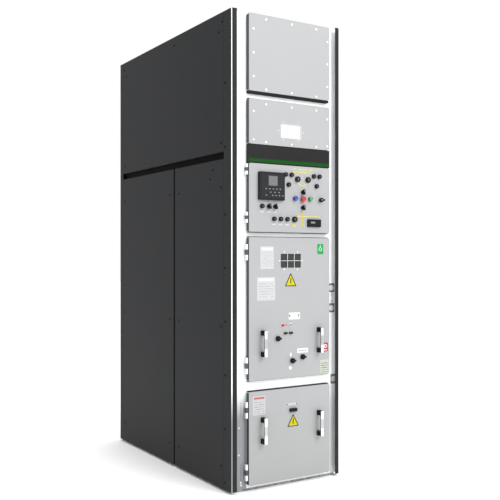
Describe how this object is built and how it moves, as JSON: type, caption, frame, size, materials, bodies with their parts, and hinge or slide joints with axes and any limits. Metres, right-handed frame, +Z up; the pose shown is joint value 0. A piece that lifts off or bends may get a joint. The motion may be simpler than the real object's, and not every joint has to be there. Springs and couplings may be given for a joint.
{
  "type": "industrial switchboard cabinet",
  "caption": "Tall metal-clad switchboard cabinet with a relay door, a breaker door over a withdrawable truck, a cable door, roof relief flaps and an earthing switch.",
  "frame": {"origin": "on the floor, under the middle of the cabinet", "axes": "+X to the right seen from the front, +Y from the front to the back, +Z up"},
  "size_m": [0.6524, 1.3725, 2.3],
  "materials": {
    "galvanised_steel": "galvanised sheet, satin",
    "black_paint": "fine-texture black powder coat",
    "dark_grey_paint": "fine-texture dark grey powder coat",
    "dark_recess": "matt black powder coat",
    "white_frame": "zinc-grey to white coated sheet, satin",
    "light_grey_paint": "light grey powder coat, satin",
    "fascia_black": "dark moulded fascia with a green band",
    "epoxy": "cast epoxy resin",
    "copper": "bare copper bar",
    "insulating_board": "glass-polyester board",
    "bright_screws": "bright zinc",
    "bright_zinc": "bright zinc",
    "cast_wheels": "turned cast iron",
    "black_plastic": "moulded black plastic",
    "handle_black": "black end mounts, bright metal grip",
    "blue_plastic": "moulded",
    "red_plastic": "moulded",
    "green_plastic": "moulded"
  },
  "bodies": {
    "cabinet": {"base_frame": "galvanised_steel", "gland_plate": "galvanised_steel", "corner_posts": "black_paint", "side_rails": "dark_recess", "front_frame": "white_frame", "roof_plate": "galvanised_steel", "top_front_panel": "light_grey_paint", "window_panel": "light_grey_paint", "header_fascia": "fascia_black", "rear_lower_cover": "dark_grey_paint", "rear_upper_cover": "dark_grey_paint", "relay_compartment_box": "galvanised_steel", "truck_floor": "galvanised_steel", "spout_wall": "galvanised_steel", "contact_spouts": "epoxy", "inner_partitions": "galvanised_steel", "busbars": "copper", "busbar_barriers": "insulating_board", "cable_bars": "copper", "current_transformers": "epoxy", "panel_screws": "bright_screws", "hinge_leaves": "bright_zinc", "left_upper_cover": "dark_grey_paint", "left_front_cover": "dark_grey_paint", "left_rear_cover": "dark_grey_paint", "right_upper_cover": "dark_grey_paint", "right_front_cover": "dark_grey_paint", "right_rear_cover": "dark_grey_paint"},
    "front_flap": {"relief_flap_front": "galvanised_steel"},
    "middle_flap": {"relief_flap_middle": "galvanised_steel"},
    "rear_flap": {"relief_flap_rear": "galvanised_steel"},
    "breaker_truck": {"truck_chassis": "galvanised_steel", "breaker_housing": "light_grey_paint", "breaker_poles": "epoxy"},
    "front_axle": {"front_wheels": "cast_wheels"},
    "rear_axle": {"rear_wheels": "cast_wheels"},
    "upper_shutter_plate": {"upper_shutter": "galvanised_steel"},
    "lower_shutter_plate": {"lower_shutter": "galvanised_steel"},
    "earthing_switch": {"earthing_blades": "copper"},
    "relay_door_leaf": {"relay_door": "light_grey_paint", "protection_relay": "black_plastic", "lamps_and_sockets": "black_plastic"},
    "breaker_door_leaf": {"breaker_door": "light_grey_paint", "breaker_door_handles": "handle_black"},
    "cable_door_leaf": {"cable_door": "light_grey_paint", "cable_door_handles": "handle_black"},
    "cable_latch": {"cable_door_latch": "black_plastic"},
    "blue_button_body": {"blue_button": "blue_plastic"},
    "red_button_body": {"red_button": "red_plastic"},
    "green_button_body": {"green_button": "green_plastic"},
    "left_selector_body": {"left_selector": "black_plastic"},
    "right_selector_body": {"right_selector": "black_plastic"},
    "breaker_control_switch_body": {"breaker_control_switch": "black_plastic"},
    "truck_control_switch_body": {"truck_control_switch": "black_plastic"},
    "local_remote_switch_body": {"local_remote_switch": "black_plastic"},
    "trip_button_body": {"trip_button": "red_plastic"},
    "close_button_body": {"close_button": "black_plastic"},
    "interlock_knob_body": {"interlock_knob": "black_plastic"},
    "door_lock_knob_body": {"door_lock_knob": "black_plastic"},
    "racking_shield_knob_body": {"racking_shield_knob": "black_plastic"}
  },
  "joints": [
    {"name": "relay_door_hinge", "type": "hinge", "parent": "cabinet", "child": "relay_door_leaf", "pos_m": [-0.233, -0.655, 1.41], "axis": [0, 0, 1], "range_deg": [-120, 0]},
    {"name": "breaker_door_hinge", "type": "hinge", "parent": "cabinet", "child": "breaker_door_leaf", "pos_m": [-0.233, -0.655, 0.874], "axis": [0, 0, 1], "range_deg": [-120, 0]},
    {"name": "cable_door_hinge", "type": "hinge", "parent": "cabinet", "child": "cable_door_leaf", "pos_m": [-0.233, -0.655, 0.2525], "axis": [0, 0, 1], "range_deg": [-120, 0]},
    {"name": "front_flap_hinge", "type": "hinge", "parent": "cabinet", "child": "front_flap", "pos_m": [0, -0.069, 2.294], "axis": [-1, 0, 0], "range_deg": [0, 80]},
    {"name": "middle_flap_hinge", "type": "hinge", "parent": "cabinet", "child": "middle_flap", "pos_m": [0, 0.491, 2.294], "axis": [-1, 0, 0], "range_deg": [0, 80]},
    {"name": "rear_flap_hinge", "type": "hinge", "parent": "cabinet", "child": "rear_flap", "pos_m": [0, 0.621, 2.294], "axis": [-1, 0, 0], "range_deg": [0, 80]},
    {"name": "truck_slide", "type": "slide", "parent": "cabinet", "child": "breaker_truck", "axis": [0, -1, 0], "range_m": [0, 0.2]},
    {"name": "front_axle_spin", "type": "hinge", "parent": "breaker_truck", "child": "front_axle", "pos_m": [0, -0.39, 0.5383], "axis": [1, 0, 0], "range_deg": [0, 460]},
    {"name": "rear_axle_spin", "type": "hinge", "parent": "breaker_truck", "child": "rear_axle", "pos_m": [0, -0.185, 0.5383], "axis": [1, 0, 0], "range_deg": [0, 460]},
    {"name": "upper_shutter_slide", "type": "slide", "parent": "cabinet", "child": "upper_shutter_plate", "axis": [0, 0, -1], "range_m": [0, 0.1801]},
    {"name": "lower_shutter_slide", "type": "slide", "parent": "cabinet", "child": "lower_shutter_plate", "axis": [0, 0, 1], "range_m": [0, 0.1801]},
    {"name": "earthing_switch_shaft", "type": "hinge", "parent": "cabinet", "child": "earthing_switch", "pos_m": [0, 0.326, 0.503], "axis": [1, 0, 0], "range_deg": [-80, 0]},
    {"name": "blue_button_travel", "type": "slide", "parent": "relay_door_leaf", "child": "blue_button_body", "axis": [0, 1, 0], "range_m": [0, 0.004], "stiffness_N_per_m": 400},
    {"name": "red_button_travel", "type": "slide", "parent": "relay_door_leaf", "child": "red_button_body", "axis": [0, 1, 0], "range_m": [0, 0.004], "stiffness_N_per_m": 400},
    {"name": "green_button_travel", "type": "slide", "parent": "relay_door_leaf", "child": "green_button_body", "axis": [0, 1, 0], "range_m": [0, 0.004], "stiffness_N_per_m": 400},
    {"name": "left_selector_turn", "type": "hinge", "parent": "relay_door_leaf", "child": "left_selector_body", "pos_m": [-0.113, -0.665, 1.37], "axis": [0, -1, 0], "range_deg": [-45, 45]},
    {"name": "right_selector_turn", "type": "hinge", "parent": "relay_door_leaf", "child": "right_selector_body", "pos_m": [-0.076, -0.665, 1.37], "axis": [0, -1, 0], "range_deg": [-45, 45]},
    {"name": "breaker_control_switch_turn", "type": "hinge", "parent": "relay_door_leaf", "child": "breaker_control_switch_body", "pos_m": [0.09, -0.665, 1.447], "axis": [0, -1, 0], "range_deg": [-45, 45]},
    {"name": "truck_control_switch_turn", "type": "hinge", "parent": "relay_door_leaf", "child": "truck_control_switch_body", "pos_m": [0.09, -0.665, 1.37], "axis": [0, -1, 0], "range_deg": [-45, 45]},
    {"name": "local_remote_switch_turn", "type": "hinge", "parent": "relay_door_leaf", "child": "local_remote_switch_body", "pos_m": [0.203, -0.665, 1.412], "axis": [0, -1, 0], "range_deg": [-45, 45]},
    {"name": "trip_button_travel", "type": "slide", "parent": "breaker_door_leaf", "child": "trip_button_body", "axis": [0, 1, 0], "range_m": [0, 0.004], "stiffness_N_per_m": 400},
    {"name": "close_button_travel", "type": "slide", "parent": "breaker_door_leaf", "child": "close_button_body", "axis": [0, 1, 0], "range_m": [0, 0.004], "stiffness_N_per_m": 400},
    {"name": "interlock_knob_turn", "type": "hinge", "parent": "breaker_door_leaf", "child": "interlock_knob_body", "pos_m": [-0.059, -0.665, 0.725], "axis": [0, -1, 0], "range_deg": [0, 90]},
    {"name": "door_lock_knob_turn", "type": "hinge", "parent": "breaker_door_leaf", "child": "door_lock_knob_body", "pos_m": [0.028, -0.665, 0.611], "axis": [0, -1, 0], "range_deg": [0, 90]},
    {"name": "racking_shield_knob_turn", "type": "hinge", "parent": "breaker_door_leaf", "child": "racking_shield_knob_body", "pos_m": [0.09, -0.665, 0.626], "axis": [0, -1, 0], "range_deg": [0, 90]},
    {"name": "cable_latch_turn", "type": "hinge", "parent": "cable_door_leaf", "child": "cable_latch", "pos_m": [0.031, -0.665, 0.368], "axis": [0, -1, 0], "range_deg": [0, 90]}
  ],
  "couplings": [
    {"joint": "front_axle_spin", "follows": "truck_slide", "rad_per_m": 40},
    {"joint": "rear_axle_spin", "follows": "truck_slide", "rad_per_m": 40},
    {"joint": "upper_shutter_slide", "follows": "truck_slide", "ratio": 0.9},
    {"joint": "lower_shutter_slide", "follows": "truck_slide", "ratio": 0.9}
  ]
}
